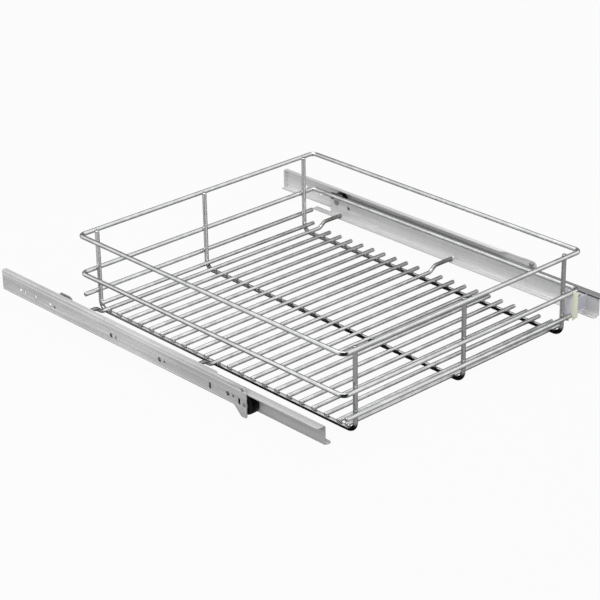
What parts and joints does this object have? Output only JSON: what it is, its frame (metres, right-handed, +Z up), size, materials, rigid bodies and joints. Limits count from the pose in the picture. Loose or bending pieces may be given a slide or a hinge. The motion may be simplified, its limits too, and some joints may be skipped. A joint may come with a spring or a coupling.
{
  "type": "pull out cabinet basket",
  "caption": "Welded wire tray with a rod floor and open sides that pulls out of a cabinet on a pair of side-mounted roller runners.",
  "frame": {"origin": "midway between the two cabinet sides, on the line through the runners' front screw holes", "axes": "+X is the user's right, -Y points out of the cabinet towards the user, +Z is up"},
  "size_m": [0.5212, 0.615, 0.117],
  "materials": {
    "bright_wire": "bright plated wire, smooth",
    "galvanised_steel": "galvanised sheet, satin, faint lines along its length",
    "axle_steel": "plain zinc plated steel",
    "passivated_zinc": "passivated zinc, faint blue and yellow tint",
    "black_nylon": "moulded black nylon"
  },
  "bodies": {
    "runners": {"cabinet_rail_left": "galvanised_steel", "stop_pin_left": "axle_steel", "front_axle_left": "axle_steel", "cabinet_rail_right": "galvanised_steel", "stop_pin_right": "axle_steel", "front_axle_right": "axle_steel"},
    "basket": {"drawer_rail_left": "galvanised_steel", "drawer_rail_right": "galvanised_steel", "rear_axle_left": "axle_steel", "rear_axle_right": "axle_steel", "top_ring": "bright_wire", "middle_ring": "bright_wire", "front_low_wire": "bright_wire", "rear_low_wire": "bright_wire", "frame_wire_left": "bright_wire", "frame_wire_middle": "bright_wire", "frame_wire_right": "bright_wire", "floor_rod_1": "bright_wire", "floor_rod_2": "bright_wire", "floor_rod_3": "bright_wire", "floor_rod_4": "bright_wire", "floor_rod_5": "bright_wire", "floor_rod_6": "bright_wire", "floor_rod_7": "bright_wire", "floor_rod_8": "bright_wire", "floor_rod_9": "bright_wire", "floor_rod_10": "bright_wire", "floor_rod_11": "bright_wire", "floor_rod_12": "bright_wire", "floor_rod_13": "bright_wire", "floor_rod_14": "bright_wire", "floor_rod_15": "bright_wire", "floor_rod_16": "bright_wire", "floor_rod_17": "bright_wire", "floor_rod_18": "bright_wire", "floor_rod_19": "bright_wire", "floor_rod_20": "bright_wire", "corner_rod": "bright_wire", "hanger_rod_middle": "bright_wire", "hanger_rod_rear": "bright_wire", "front_clip": "passivated_zinc", "clip_rivet_upper": "axle_steel", "clip_rivet_lower": "axle_steel"},
    "front_roller_left": {"front_roller_left": "black_nylon"},
    "front_roller_right": {"front_roller_right": "black_nylon"},
    "rear_roller_left": {"rear_roller_left": "black_nylon"},
    "rear_roller_right": {"rear_roller_right": "black_nylon"}
  },
  "joints": [
    {"name": "basket_slide", "type": "slide", "parent": "runners", "child": "basket", "axis": [0, -1, 0], "range_m": [-0.105, 0.255]},
    {"name": "front_roller_left_spin", "type": "hinge", "parent": "runners", "child": "front_roller_left", "pos_m": [-0.2533, -0.0295, -0.0049], "axis": [1, 0, 0], "range_deg": [-470, 1130]},
    {"name": "rear_roller_left_spin", "type": "hinge", "parent": "basket", "child": "rear_roller_left", "pos_m": [-0.2533, 0.3355, 0.003], "axis": [1, 0, 0], "range_deg": [-490, 1175]},
    {"name": "front_roller_right_spin", "type": "hinge", "parent": "runners", "child": "front_roller_right", "pos_m": [0.2533, -0.0295, -0.0049], "axis": [1, 0, 0], "range_deg": [-470, 1130]},
    {"name": "rear_roller_right_spin", "type": "hinge", "parent": "basket", "child": "rear_roller_right", "pos_m": [0.2533, 0.3355, 0.003], "axis": [1, 0, 0], "range_deg": [-490, 1175]}
  ],
  "couplings": [
    {"joint": "front_roller_left_spin", "follows": "basket_slide", "rad_per_m": 76.923},
    {"joint": "rear_roller_left_spin", "follows": "basket_slide", "rad_per_m": 80},
    {"joint": "front_roller_right_spin", "follows": "basket_slide", "rad_per_m": 76.923},
    {"joint": "rear_roller_right_spin", "follows": "basket_slide", "rad_per_m": 80}
  ]
}
